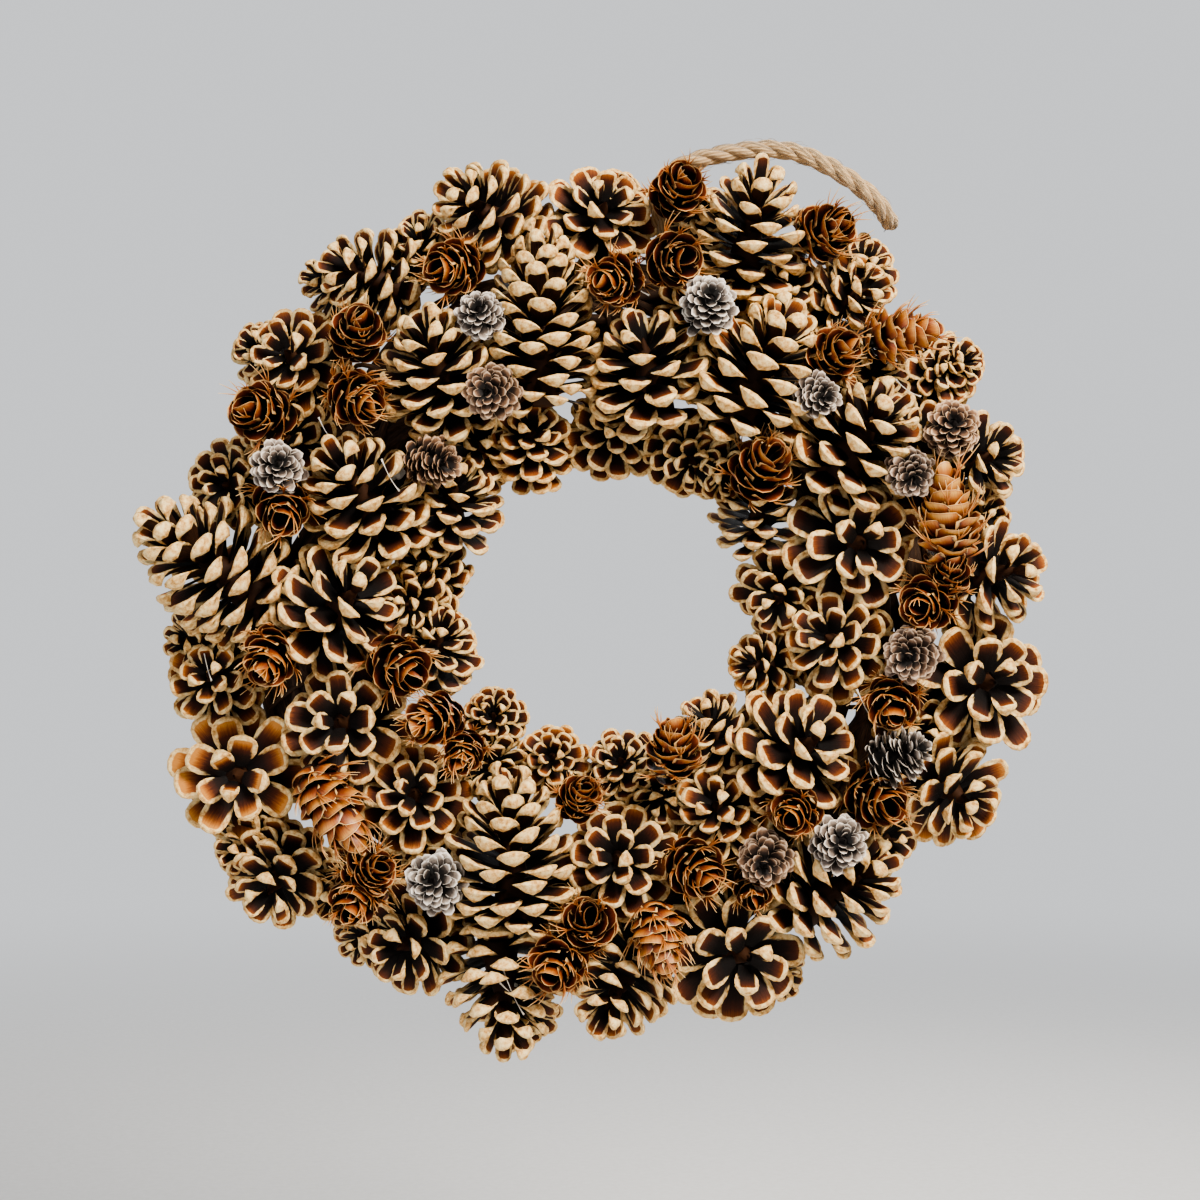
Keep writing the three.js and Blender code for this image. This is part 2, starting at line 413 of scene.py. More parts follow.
# %% [markdown]
# ## How scales are laid out
# Every conifer sets its scales on a spiral, each turned by the golden angle from the last.
# The scales' tips lie on the cone's outline and their stalks on its woody core, so each scale
# is built between those two points. The spacing along the spiral follows the area that one
# scale's tip covers, so wide parts of the cone get more of them.

# %% Spiral layout
OFF_AXIS = [0.13, 0.31, 0.94]  # any direction that no cone points along
LEAST_RADIUS = 0.06  # the outline counts as at least this share of the width
END_STARTS = 0.93  # past this share of the height the scales are sparser
END_SPARSE = 0.7


def across_axis(axis):
    """Two directions square to a cone's axis."""
    first = np.cross(axis, OFF_AXIS)
    first = first / np.linalg.norm(first)
    return first, np.cross(axis, first)


def spiral_scales(kind, base, axis, length, width, rng):
    """Where each scale of one cone starts and ends, its width, and its share of the way up."""
    t = np.linspace(0, 1, 200)
    outline = np.interp(t, *zip(*kind["outline"])) * width / 2
    scale_width = np.interp(t, *zip(*kind["widths"])) * kind["scale_width"] * width
    density = np.maximum(outline, LEAST_RADIUS * width) / scale_width ** 2
    density[t > END_STARTS] *= END_SPARSE
    total = density.mean() * length * 2 * math.pi / kind["crowding"] * math.sqrt(length / width)
    count = int(np.clip(round(total), *kind["count"]))
    share = np.concatenate([[0], np.cumsum((density[1:] + density[:-1]) / 2)])
    up = np.interp((np.arange(count) + 0.5) / count, share / share[-1], t)
    turn = np.arange(count) * GOLDEN_ANGLE + rng.uniform(0, 2 * math.pi)
    turn += rng.normal(0, math.radians(kind["wander"]), count)
    first, second = across_axis(axis)
    radial = np.cos(turn)[:, None] * first + np.sin(turn)[:, None] * second
    reach = np.interp(up, t, outline) * rng.normal(1, kind["uneven"], count)
    lift = rng.normal(0, kind["uneven"] * 0.35, count) * length * (1 - up)
    tip = base + axis * (up * length + lift)[:, None] + radial * reach[:, None]
    stalk_up = (kind["stalk"][0] + kind["stalk"][1] * up) * length
    core = np.interp(up, [0, 1], kind["core"]) * width
    stalk = base + axis * stalk_up[:, None] + radial * core[:, None]
    wide = np.interp(up, t, scale_width) * rng.normal(1, 0.05, count)
    return stalk, tip, wide, up, radial


# %% [markdown]
# ## One scale, many times
# A scale is two thin skins that meet along its edges: the inner face, which held the seeds,
# and the outer face, which ends in a thick pale pad. Both are grids of points. The rows run
# from the stalk to the end and the columns across. Each row has a place along the scale, a
# height, and a `zone`, which is 0 on the inner face, 1 on the outer pad and 2 underneath.

# %% Scale builder
EDGE_INNER = 0.75  # the skins meet at an edge that is this share of the inner one
SWELL_STARTS = 0.8  # scales past this share of the cone's height grow thicker
RIM_BLEND = 0.16  # how wide the change to the side rim is, across the scale
RIM_ZONE = 0.55


def grow_scales(shape, stalk, tip, wide, up, radial, axis, sun, rng):
    """All of one cone's scales as points, faces and numbers."""
    count = len(stalk)
    span = tip - stalk
    reach = np.linalg.norm(span, axis=1)
    along = span / reach[:, None]
    over = axis * np.einsum("ij,ij->i", along, radial)[:, None] - radial * (along @ axis)[:, None]
    over = unit(over)
    side = np.cross(along, over)
    lean = rng.normal(0, math.radians(shape["lean"]), count)[:, None]
    side, over = side * np.cos(lean) + over * np.sin(lean), over * np.cos(lean) - side * np.sin(lean)
    columns = np.array(shape["columns"])
    middle = np.sqrt(np.maximum(0, 1 - np.abs(columns) ** shape["roundness"]))
    nose = shape["shoulder"] + (1 - shape["shoulder"]) * middle
    flat = 1 - np.abs(columns) ** shape["pad"]
    pick = rng.uniform(0, 1, count)
    curl = shape["curl"] + rng.normal(0, shape["curl_spread"], count)
    swell = 1 + shape["tip_swell"] * np.clip((up - SWELL_STARTS) / (1 - SWELL_STARTS), 0, 1)
    grids = []
    inner = np.array(shape["inner"])
    outer = np.array(shape["outer"])
    edge = inner[:, :2] * EDGE_INNER + outer[:, :2] * (1 - EDGE_INNER)
    for rows in (inner, outer):
        at = rows[:, :1] * flat + edge[:, :1] * (1 - flat)
        rise = rows[:, 1:2] * flat + edge[:, 1:2] * (1 - flat)
        opening = np.clip((at - 0.05) / shape["fan"], 0, 1)
        half = shape["neck"] + (1 - shape["neck"]) * opening ** 2 * (3 - 2 * opening)
        cup = shape["cup"] * np.abs(columns) ** 2 * at ** 2
        rim = np.clip((np.abs(columns) - shape["rim"]) / RIM_BLEND, 0, 1)
        rim = rim * np.clip((at - 0.4) / 0.3, 0, 1)
        zone = np.broadcast_to(rows[:, 2:3], at.shape)
        zone = zone + (RIM_ZONE - zone) * rim * (np.abs(zone - 1) > 0.2)
        forward = at * nose
        scale_size = wide[:, None, None]
        place_along = forward[None] * reach[:, None, None]
        place_side = (half * columns)[None] * scale_size / 2
        place_over = (rise[None] * shape["thickness"] * swell[:, None, None] + cup[None])
        place_over = place_over * scale_size
        place_over = place_over + curl[:, None, None] * (forward ** 2)[None] * reach[:, None, None]
        points = (stalk[:, None, None] + along[:, None, None] * place_along[..., None] +
                  side[:, None, None] * place_side[..., None] +
                  over[:, None, None] * place_over[..., None])
        quads = grid_faces(len(rows), len(columns))
        if rows is outer:
            quads = quads[:, ::-1]
        each = at.size
        faces = (quads[None] + (np.arange(count) * each)[:, None, None]).reshape(-1, 4)
        numbers = {
            "forward": np.tile(forward.ravel(), count),
            "zone": np.tile(zone.ravel(), count),
            "across": np.tile(np.broadcast_to(columns, at.shape).ravel(), count),
            "pick": np.repeat(pick, each),
            "sun": np.full(count * each, sun),
            "up": np.repeat(up, each),
        }
        grids.append((points.reshape(-1, 3), faces, numbers))
    return join_grids(grids)


# %% [markdown]
# ### The woody core
# Between the open scales the core shows as a dark stem, and at the back of the cone as a small
# round scar where it grew from its twig.

# %% Core builder
CORE_SIDES = 10
CORE_UP = [0.0, 0.0, 0.03, 0.2, 0.5, 0.8, 1.0]
CORE_RADII = [0.01, 0.8, 1.0, 1.1, 1.0, 0.8, 0.2]


def core_grid(base, axis, length, width, core, rise):
    """A cone's stem as points, faces and numbers, closed at the base by its scar."""
    first, second = across_axis(axis)
    t = np.array(CORE_UP)
    radius = np.array(CORE_RADII) * np.interp(t, [0, 1], core) * width
    angle = np.linspace(0, 2 * math.pi, CORE_SIDES, endpoint=False)
    ring = np.cos(angle)[:, None] * first + np.sin(angle)[:, None] * second
    centre = base + axis * (t * rise * length)[:, None]
    points = centre[:, None] + ring[None] * radius[:, None, None]
    size = len(t) * len(angle)
    numbers = {"forward": 0.1, "zone": 2.0, "across": 0.0, "pick": 0.5, "sun": 0.0, "up": 0.5}
    numbers = {key: np.full(size, value) for key, value in numbers.items()}
    return points.reshape(-1, 3), grid_faces(len(t), len(angle), closed=True), numbers


# %% [markdown]
# ## Pine cones
# These are ripe, open cones of a Scots or black pine. The inner face of a scale is dark near
# the core, from its wood and from painted shade, and turns orange-brown, with a cream edge. The
# end is a thick cream pad with a ridge across it and a small knob in the middle. The underside
# is nearly black.

# %% Pine scale material
def grain_place(tree, across, forward, pick):
    """Where on a scale its grain is read.

    Fibres run along the scale, about 0.5 mm apart, which is coarser than the real ones. Each
    scale has its own.
    """
    turned = add_node(tree, "Math", [across, 9.0], operation="MULTIPLY")
    drawn_out = add_node(tree, "Math", [forward, 2.0], operation="MULTIPLY")
    shifted = add_node(tree, "Math", [pick, 40.0], operation="MULTIPLY")
    return add_node(tree, "CombineXYZ", [turned, drawn_out, shifted])


def make_pine():
    material, tree, shader, readings = new_material(
        "pine_scale_dry_wood", 0.7, ("forward", "zone", "across", "pick", "sun"), specular=0.25)
    forward, zone, across, pick, sun = readings
    position = add_node(tree, "TexCoord").outputs["Object"]
    fibre = add_node(tree, "TexNoise", {"Vector": grain_place(tree, across, forward, pick),
                                        "Scale": 1.3, "Detail": 5.0, "Roughness": 0.65})
    # Mottling about 2 mm across, on the pads and in the wood's surface.
    mottle = add_node(tree, "TexNoise", {"Vector": position, "Scale": 1 / (2.2 * MM),
                                         "Detail": 5.0, "Roughness": 0.65})
    # The inner face goes from nearly black at the core to orange-brown by the rim. The wood
    # darkens towards the core, and the near-black there is painted shade.
    # Painted light and shade: a higher per-cone value paints a cone's inner faces paler. One cone is
    # painted as if sunlit, the second layer darker as painted shade, and the rest get tones that
    # differ at random.
    depth = add_node(tree, "Math", [sun, 0.3, forward], operation="MULTIPLY_ADD")
    depth = add_node(tree, "Math", [fibre, 0.24, depth], operation="MULTIPLY_ADD")
    depth = add_node(tree, "Math", [pick, 0.1, depth], operation="MULTIPLY_ADD")
    depth = add_node(tree, "Math", [depth, 0.28], operation="SUBTRACT", use_clamp=True)
    inner = add_node(tree, "ValToRGB", [depth], stops=[
        (0.3, "#080302"), (0.55, "#1f0d06"), (0.74, "#47200e"), (0.86, "#7c431c"),
        (0.94, "#a5652b"), (1.0, "#bf813e")])
    pad = add_node(tree, "ValToRGB", [mottle], stops=[
        (0.32, "#a2743c"), (0.43, "#cfa266"), (0.53, "#e6c68c"), (0.68, "#f2dcaa")])
    under = add_node(tree, "ValToRGB", [fibre], stops=[(0.3, "#150a05"), (0.7, "#452813")])
    # A wavy cream edge, with a thin darker line where the rim meets the pad. That line is painted
    # shade in the groove there.
    edge = add_node(tree, "Math", [fibre, 0.5], operation="SUBTRACT")
    wavy = add_node(tree, "Math", [edge, 0.22, zone], operation="MULTIPLY_ADD")
    share = add_node(tree, "MapRange", [wavy, 0.1, 0.22], interpolation_type="SMOOTHSTEP")
    colour = add_node(tree, "Mix", [share, inner, pad], data_type="RGBA")
    line = add_node(tree, "ValToRGB", [wavy], stops=[
        (0.56, "#000000"), (0.62, "#999999"), (0.66, "#999999"), (0.72, "#000000")])
    colour = add_node(tree, "Mix", [line, colour, linear("#80501f")], data_type="RGBA")
    share = add_node(tree, "MapRange", [zone, 1.12, 1.35], interpolation_type="SMOOTHSTEP")
    colour = add_node(tree, "Mix", [share, colour, under], data_type="RGBA")
    grain = add_node(tree, "Math", [mottle, 0.6, fibre], operation="MULTIPLY_ADD")
    bump = add_node(tree, "Bump", {"Height": grain, "Strength": 0.6, "Distance": 0.5 * MM})
    tree.links.new(colour.outputs[2], shader.inputs["Base Color"])
    tree.links.new(bump.outputs[0], shader.inputs["Normal"])
    return material


PINE = make_pine()
print("material:", PINE.name)

# %% [markdown]
# ### The shape of a pine cone
# The outline is drawn up to 1.19 times as wide as the solid cone, so that neighbours' scales
# mesh and close the gaps between cones. So a drawn cone is larger than its solid.

# %% Pine cone shape
# A row of a skin is (place along the scale, height in scale thicknesses, zone).
PINE_SCALE = {
    "inner": [(0, 0.1, 0), (0.3, 0.1, 0), (0.55, 0.1, 0), (0.76, 0.12, 0), (0.89, 0.16, 0.02),
              (0.94, 0.2, 0.4), (0.985, -0.05, 0.75), (1.0, -0.75, 1)],
    "outer": [(0, -0.4, 2), (0.3, -0.45, 2), (0.55, -0.6, 2), (0.7, -1.0, 1.9),
              (0.80, -2.6, 1.1), (0.89, -2.35, 1), (0.965, -1.6, 1), (1.0, -0.75, 1)],
    "columns": [-1, -0.84, -0.5, 0, 0.5, 0.84, 1],
    "thickness": 0.15,
    "roundness": 2.3,
    "shoulder": 0.74,
    "neck": 0.46,
    "fan": 0.75,
    "cup": 0.04,
    "curl": 0.05,
    "curl_spread": 0.035,
    "tip_swell": 1.2,
    "lean": 7,
    "rim": 0.74,
    "pad": 1.7,
}
PINE_CONE = {
    "outline": [(0, 0.84), (0.1, 1.08), (0.25, 1.19), (0.45, 1.14), (0.65, 0.94), (0.85, 0.56),
                (1, 0.12)],
    "widths": [(0, 0.85), (0.2, 1), (0.6, 1), (0.85, 0.75), (1, 0.5)],
    "scale_width": 0.27,
    "crowding": 1.2,
    "count": (26, 80),
    "wander": 4,
    "uneven": 0.05,
    "stalk": (0.02, 0.7),
    "core": (0.2, 0.04),
}


SEEDS = {"pine": 100, "deep": 200, "fir": 300, "small_fir": 400, "larch": 500,
         "small_larch": 600}
SPREAD_STEP = 0.618  # a step that spreads a value evenly from cone to cone
# Painted light: these two cones' scales are painted paler, as if in sun.
PAINTED_SUNLIT_PINE = 15  # this cone's inner faces are the palest
PAINTED_SUNLIT_FIR = 2


def make_cone(name, where, kind, shape, material, slot, sun, seed):
    """One cone. `where` is its base, axis, length and width."""
    rng = np.random.default_rng(seed)
    base, axis, length, width = where
    layout = spiral_scales(kind, base, axis, length, width, rng)
    scales = grow_scales(shape, *layout, axis, sun, rng)
    core = core_grid(base, axis, length, width, kind["core"], sum(kind["stalk"]))
    points, faces, numbers = join_grids([scales, core])
    points[:, 1] = np.minimum(points[:, 1], CENTRE[1])  # scales press flat against the wall
    piece = mesh_object(name, points, faces, numbers, material, slot)
    if slot == "fir_cone":
        bracts = grow_bracts(*layout[:2], axis, width, rng)
        mesh_object(f"{name}_bracts", *bracts, BRACT, slot)
    return piece


pine_faces = 0
for number, node in enumerate(PINE_NODES, 1):
    # One cone gets painted light, and the rest get tones that differ at random.
    sun = 1.0 if number == PAINTED_SUNLIT_PINE else 0.15 + 0.5 * ((number * SPREAD_STEP) % 1) ** 2
    piece = make_cone(f"open_{node}", axes[node], PINE_CONE, PINE_SCALE, PINE, "pine_cone",
                      sun, SEEDS["pine"] + number)
    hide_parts(node)
    pine_faces += len(piece.data.polygons)
print("pine cones:", len(PINE_NODES), "with", pine_faces, "quads")

# %% [markdown]
# ### Cones in the second layer
# Behind the cones that the solid model holds, smaller ones are pushed into the gaps, so that
# neither the ring nor the wall shows between them. Each is listed: millimetres across
# and up from the wreath's centre, width and length, the way the tip points, how far it turns
# to the front, and the height of its middle above the wreath's back.

# %% Second layer
# Painted shade: a low value paints these cones' inner faces darker.
DEEP_PINE_PAINTED_SHADE = 0.2  # cones in the shade of others stay dark
DEEP_PINE = [
    (-119, 65, 34, 32, 120, 70, 24), (-100, -109, 31, 30, 230, 60, 20),
    (-67, 141, 28, 30, 120, 60, 20), (-45, 63, 30, 30, 60, 60, 20),
    (25, -72, 28, 28, 280, 60, 22), (-40, -62, 26, 26, 300, 60, 20),
    (49, 54, 28, 28, 300, 60, 20), (-61, -103, 28, 28, 250, 70, 26),
    (106, 91, 30, 30, 60, 70, 26), (42, 118, 32, 32, 80, 70, 24),
    (41, 152, 28, 28, 100, 60, 20), (-72, 1, 30, 30, 200, 70, 24),
    (124, 66, 32, 32, 30, 70, 24), (103, 132, 28, 28, 50, 60, 20),
    (73, 124, 30, 30, 60, 70, 24), (124, -48, 28, 28, 300, 70, 22),
    (149, 36, 26, 26, 0, 60, 18), (-104, 127, 26, 26, 165, 40, 18),
    (111, -88, 30, 30, 330, 55, 20), (-136, -92, 28, 28, 220, 55, 18),
    (-157, -12, 26, 26, 190, 50, 17), (8, 159, 25, 25, 70, 55, 18),
    (-130, 100, 26, 26, 150, 60, 18), (-28, -156, 30, 30, 290, 50, 19),
    (-90, -127, 26, 26, 230, 50, 18), (140, 95, 24, 24, 20, 60, 18),
    (70, -142, 24, 24, 310, 50, 18),
]


def pointing(heading, facing):
    """An axis from the way it points in the wreath's plane and its turn to the front."""
    turn, tilt = math.radians(heading), math.radians(facing)
    return np.array([math.cos(turn) * math.cos(tilt), -math.sin(tilt),
                     math.sin(turn) * math.cos(tilt)])


def placed(across, up, width, length, heading, facing, height):
    """A listed cone's base, axis, length and width."""
    axis = pointing(heading, facing)
    middle = place(across, -height, up)
    return middle - axis * length * MM / 2, axis, length * MM, width * MM


for number, where in enumerate(DEEP_PINE, 1):
    make_cone(f"deep_pine_cone_{number:02d}", placed(*where), PINE_CONE, PINE_SCALE, PINE,
              "pine_cone", DEEP_PINE_PAINTED_SHADE, SEEDS["deep"] + number)
print("second layer:", len(DEEP_PINE), "pine cones")

# %% [markdown]
# ## Fir cones
# These are small Douglas fir cones. Their scales are thin rounded spoons that wrap round the
# cone like roof tiles, smooth and red-brown outside, with a thin pale edge. Under each scale
# lies a bract, a papery strap that ends in three points and sticks out past the scale.

# %% Fir scale material
def make_fir():
    material, tree, shader, readings = new_material(
        "fir_scale_smooth_bark", 0.42, ("forward", "zone", "across", "pick", "sun"))
    forward, zone, across, pick, sun = readings
    grain = add_node(tree, "TexNoise", {"Vector": grain_place(tree, across, forward, pick),
                                        "Scale": 1.4, "Detail": 5.0, "Roughness": 0.65})
    # Both faces run from near-black at the stalk to pale brown at the end: the wood's own tones, with
    # painted shade near the stalk where the scales overlap.
    depth = add_node(tree, "Math", [grain, 0.3, forward], operation="MULTIPLY_ADD")
    # Painted light: a higher per-cone value paints a cone's scales paler.
    depth = add_node(tree, "Math", [sun, 0.2, depth], operation="MULTIPLY_ADD")
    depth = add_node(tree, "Math", [depth, 0.25], operation="SUBTRACT", use_clamp=True)
    outer = add_node(tree, "ValToRGB", [depth], stops=[
        (0.25, "#160704"), (0.5, "#43190d"), (0.7, "#7c3b18"), (0.86, "#a8682a"),
        (1.0, "#c9954c")])
    inner = add_node(tree, "ValToRGB", [depth], stops=[
        (0.35, "#0c0302"), (0.62, "#2c0f08"), (0.85, "#6b2e16"), (1.0, "#a3603a")])
    share = add_node(tree, "MapRange", [zone, 0.9, 1.3], interpolation_type="SMOOTHSTEP")
    colour = add_node(tree, "Mix", [share, inner, outer], data_type="RGBA")
    rim = add_node(tree, "ValToRGB", [zone], stops=[
        (0.25, "#000000"), (0.5, "#ffffff"), (0.8, "#ffffff"), (1.0, "#000000")])
    colour = add_node(tree, "Mix", [rim, colour, linear("#dcb074")], data_type="RGBA")
    bump = add_node(tree, "Bump", {"Height": grain, "Strength": 0.5, "Distance": 0.3 * MM})
    tree.links.new(colour.outputs[2], shader.inputs["Base Color"])
    tree.links.new(bump.outputs[0], shader.inputs["Normal"])
    return material


def make_bract():
    material, tree, shader, (forward,) = new_material("fir_bract_papery", 0.55, ("forward",))
    tone = add_node(tree, "ValToRGB", [forward], stops=[
        (0.0, "#5c2a12"), (0.45, "#a8652f"), (0.8, "#d8a468"), (1.0, "#edd2a2")])
    tree.links.new(tone.outputs[0], shader.inputs["Base Color"])
    return material


FIR = make_fir()
BRACT = make_bract()
print("materials:", FIR.name, "and", BRACT.name)

# %% [markdown]
# ### The shapes of fir and larch cones
# They are made like pine cones, from thinner scales. A fir cone has a few broad scales and a
# larch cone many small ones.

# %% Fir and larch cone shapes
FIR_SCALE = {
    "inner": [(0, 0, 0), (0.35, 0, 0), (0.7, 0, 0), (0.93, 0, 0.15), (1.0, -0.3, 0.7)],
    "outer": [(0, -0.8, 2), (0.35, -0.8, 2), (0.7, -0.8, 2), (0.92, -0.75, 1.6), (1.0, -0.3, 0.7)],
    "columns": [-1, -0.82, -0.45, 0, 0.45, 0.82, 1],
    "thickness": 0.06,
    "roundness": 2.2,
    "shoulder": 0.5,
    "neck": 0.4,
    "fan": 0.6,
    "cup": 0.3,
    "curl": 0.2,
    "curl_spread": 0.05,
    "tip_swell": 0.0,
    "lean": 6,
    "rim": 0.84,
    "pad": 2.6,
}
FIR_CONE = {
    "outline": [(0, 0.7), (0.15, 1.02), (0.35, 1.12), (0.6, 0.98), (0.82, 0.64), (1, 0.12)],
    "widths": [(0, 0.85), (0.3, 1), (0.7, 0.95), (1, 0.6)],
    "scale_width": 0.56,
    "crowding": 0.62,
    "count": (18, 34),
    "wander": 3,
    "uneven": 0.05,
    "stalk": (0.0, 0.62),
    "core": (0.12, 0.04),
}
LARCH_SCALE = {
    "inner": [(0, 0, 0), (0.45, 0, 0), (0.8, 0, 0.05), (0.96, 0, 0.5), (1.0, -0.3, 1)],
    "outer": [(0, -0.8, 2), (0.45, -0.8, 2), (0.8, -0.8, 1.5), (0.95, -0.75, 1.1), (1.0, -0.3, 1)],
    "columns": [-1, -0.7, 0, 0.7, 1],
    "thickness": 0.09,
    "roundness": 2.2,
    "shoulder": 0.6,
    "neck": 0.45,
    "fan": 0.65,
    "cup": 0.1,
    "curl": -0.06,
    "curl_spread": 0.1,
    "tip_swell": 0.0,
    "lean": 13,
    "rim": 0.84,
    "pad": 2.6,
}
LARCH_CONE = {
    "outline": [(0, 0.7), (0.15, 0.98), (0.4, 1.08), (0.65, 0.98), (0.85, 0.7), (1, 0.2)],
    "widths": [(0, 0.9), (0.3, 1), (0.7, 0.9), (1, 0.6)],
    "scale_width": 0.25,
    "crowding": 0.75,
    "count": (80, 120),
    "wander": 9,
    "uneven": 0.08,
    "stalk": (-0.02, 0.8),
    "core": (0.3, 0.06),
}

# %% [markdown]
# ### Bracts
# Each bract starts under its scale and runs out past the scale's end. Its middle point is
# long and thin and its side points are shorter, so it is three thin tapering tubes that share
# a stem.

# %% Bract builder
PRONGS = [(0.0, 1.0), (-0.34, 0.72), (0.34, 0.72)]  # sideways lean and length of each point
BRACTS_LOST = 0.35  # the share that handling has broken off


def grow_bracts(stalk, tip, axis, width, rng):
    """One cone's bracts as points, faces and numbers, from each scale's stalk and tip."""
    grids = []
    for start, end in zip(stalk, tip):
        if rng.uniform() < BRACTS_LOST:
            continue
        reach = np.linalg.norm(end - start)
        along = (end - start) / reach
        side = unit(np.cross(along, axis))
        over = np.cross(side, along)
        if over @ axis < 0:
            over = -over
        past = width * rng.uniform(0.14, 0.36)
        bend = rng.normal(0.15, 0.2)
        sway = rng.normal(0, 0.2)
        for lean, share in PRONGS:
            far = reach + past * share
            stops = [0.35 * reach, 0.8 * reach, reach + 0.35 * (far - reach), far]
            lift = [-0.1, -0.1, -0.04, 0.1]
            line = [start + along * s + over * reach * (h + bend * (s / far) ** 2) +
                    side * (lean * max(0, s - 0.75 * reach) * 1.2 + sway * s ** 2 / far)
                    for s, h in zip(stops, lift)]
            line = smooth_path(line, reach / 5)
            thick = np.interp(np.linspace(0, 1, len(line)), [0, 0.5, 1], [0.45, 0.26, 0.07]) * MM
            points, faces, _ = tube(line, thick, around=4)
            numbers = {"forward": np.repeat(np.linspace(0, 1, len(line)), 4)}
            grids.append((points, faces, numbers))
    return join_grids(grids)


# %% [markdown]
# ### Where the smallest cones sit
# The solid model holds the largest of the small cones. The rest fill the gaps between the
# pine cones, so each is listed: millimetres across and up from the wreath's centre,
# width and length, the way the tip points, how far it turns to the front, and the height of
# its middle above the wreath's back.

# %% Small cones, listed
SMALL_FIR = [
    (-55, 128, 22, 30, 200, 62, 46), (-89, 105, 21, 28, 60, 66, 46), (-88, 78, 21, 30, 330, 48, 50),
    (-127, 74, 24, 30, 170, 66, 44), (-117, 37, 22, 30, 280, 60, 50), (-122, -19, 22, 30, 250, 58, 50),
    (-73, -22, 23, 32, 330, 50, 46), (-62, -42, 20, 28, 200, 55, 48), (-50, -55, 16, 22, 250, 60, 44),
    (-90, -108, 21, 30, 250, 52, 48), (-83, -97, 19, 26, 30, 55, 52), (32, 159, 22, 28, 60, 70, 42),
    (30, 131, 22, 28, 340, 66, 48), (6, 123, 20, 28, 200, 62, 48), (88, 143, 22, 30, 20, 55, 40),
    (90, 96, 20, 28, 30, 60, 50), (123, 2, 21, 28, 200, 62, 48), (133, 14, 16, 20, 90, 50, 48),
    (111, -36, 21, 28, 260, 64, 48), (106, -71, 23, 30, 330, 62, 48), (74, -76, 20, 26, 200, 68, 48),
    (-6, -70, 17, 26, 60, 58, 44), (-3, -117, 22, 28, 80, 66, 48), (-15, -133, 22, 28, 230, 66, 50),
    (38, -98, 23, 30, 330, 60, 48), (59, -106, 16, 20, 270, 60, 46),
]
SMALL_LARCH = [
    (-43, 110, 17, 18, 120, 72, 54), (-39, 81, 20, 20, 200, 74, 54), (-60, 55, 18, 22, 350, 40, 48),
    (-118, 53, 19, 19, 60, 76, 54), (83, 79, 16, 17, 340, 66, 54), (133, 68, 20, 20, 100, 70, 50),
    (117, 50, 17, 20, 280, 66, 54), (117, -17, 20, 21, 210, 70, 52), (91, -87, 20, 20, 60, 70, 52),
    (63, -94, 20, 21, 240, 72, 50),
]
print("placed by hand:", len(SMALL_FIR), "fir,", len(SMALL_LARCH), "larch")

# %% [markdown]
# ## Larch cones
# These are small and almost round, with many thin rounded scales. Rain and sun have turned
# their edges grey, and the faces between stay brown. Some are silvery and some still brown.

# %% Larch scale material
def make_larch():
    material, tree, shader, readings = new_material(
        "larch_scale_weathered", 0.75, ("forward", "zone", "sun"))
    forward, zone, sun = readings
    position = add_node(tree, "TexCoord").outputs["Object"]
    # Weathered patches between 1 and 2 mm across.
    mottle = add_node(tree, "TexNoise", {"Vector": position, "Scale": 1 / (1.6 * MM),
                                         "Detail": 5.0, "Roughness": 0.65})
    patch = add_node(tree, "Math", [mottle, 0.5], operation="SUBTRACT")
    # The faces darken towards the core: the wood's own tone, and the near-black there is painted
    # shade.
    depth = add_node(tree, "Math", [patch, 0.5, forward], operation="MULTIPLY_ADD")
    brown = add_node(tree, "ValToRGB", [depth], stops=[
        (0.35, "#120a07"), (0.62, "#3d2516"), (0.82, "#7d5636"), (0.96, "#b0906e")])
    grey = add_node(tree, "ValToRGB", [depth], stops=[
        (0.35, "#14110f"), (0.62, "#4a4039"), (0.82, "#94877b"), (0.96, "#c9beb2")])
    # Here the per-cone value is only how grey weather has turned the cone, which is its own colour.
    colour = add_node(tree, "Mix", [sun, brown, grey], data_type="RGBA")
    rim_tone = add_node(tree, "Mix", [sun, linear("#c6a37f"), linear("#e2dacf")],
                        data_type="RGBA")
    rim = add_node(tree, "ValToRGB", [zone], stops=[
        (0.3, "#000000"), (0.5, "#ffffff"), (0.9, "#ffffff"), (1.0, "#000000")])
    worn = add_node(tree, "MapRange", [mottle, 0.3, 0.55], interpolation_type="SMOOTHSTEP")
    share = add_node(tree, "Math", [rim, worn], operation="MULTIPLY")
    colour = add_node(tree, "Mix", [share, colour, rim_tone], data_type="RGBA")
    bump = add_node(tree, "Bump", {"Height": mottle, "Strength": 0.6, "Distance": 0.3 * MM})
    tree.links.new(colour.outputs[2], shader.inputs["Base Color"])
    tree.links.new(bump.outputs[0], shader.inputs["Normal"])
    return material


LARCH = make_larch()
LARCH_GREYNESS = [0.9, 0.15, 0.1, 0.8, 0.8, 0.1, 0.45, 0.3, 0.85, 0.2]
print("material:", LARCH.name)

# %% [markdown]
# ### Growing the small cones
# The cones that stand for solids take their place from them, and the rest from the lists.

